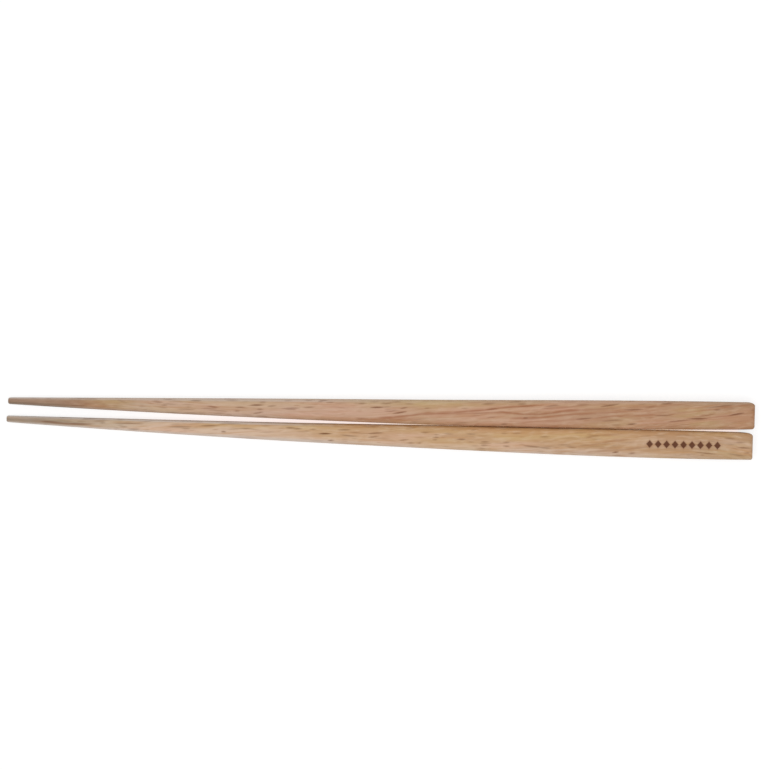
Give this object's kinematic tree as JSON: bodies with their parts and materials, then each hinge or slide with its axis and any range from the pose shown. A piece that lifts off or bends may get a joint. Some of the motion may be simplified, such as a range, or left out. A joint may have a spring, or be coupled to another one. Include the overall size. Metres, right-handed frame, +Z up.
{
  "type": "pair of wooden chopsticks",
  "caption": "Slender table chopsticks of pale hardwood, square at the head and thinning in a gentle curve to a small round tip, lying side by side.",
  "frame": {"origin": "on the table under the middle of the pair, half way between its ends and between its outer sides", "axes": "+X along the pair from the thin tips to the square heads, +Y across the pair from the front stick to the rear one, +Z up from the table"},
  "size_m": [0.2304, 0.018, 0.0091],
  "materials": {
    "rear_wood": "satin",
    "front_wood": "satin"
  },
  "bodies": {
    "root": {"rear_chopstick": "rear_wood", "front_chopstick": "front_wood"}
  },
  "joints": []
}
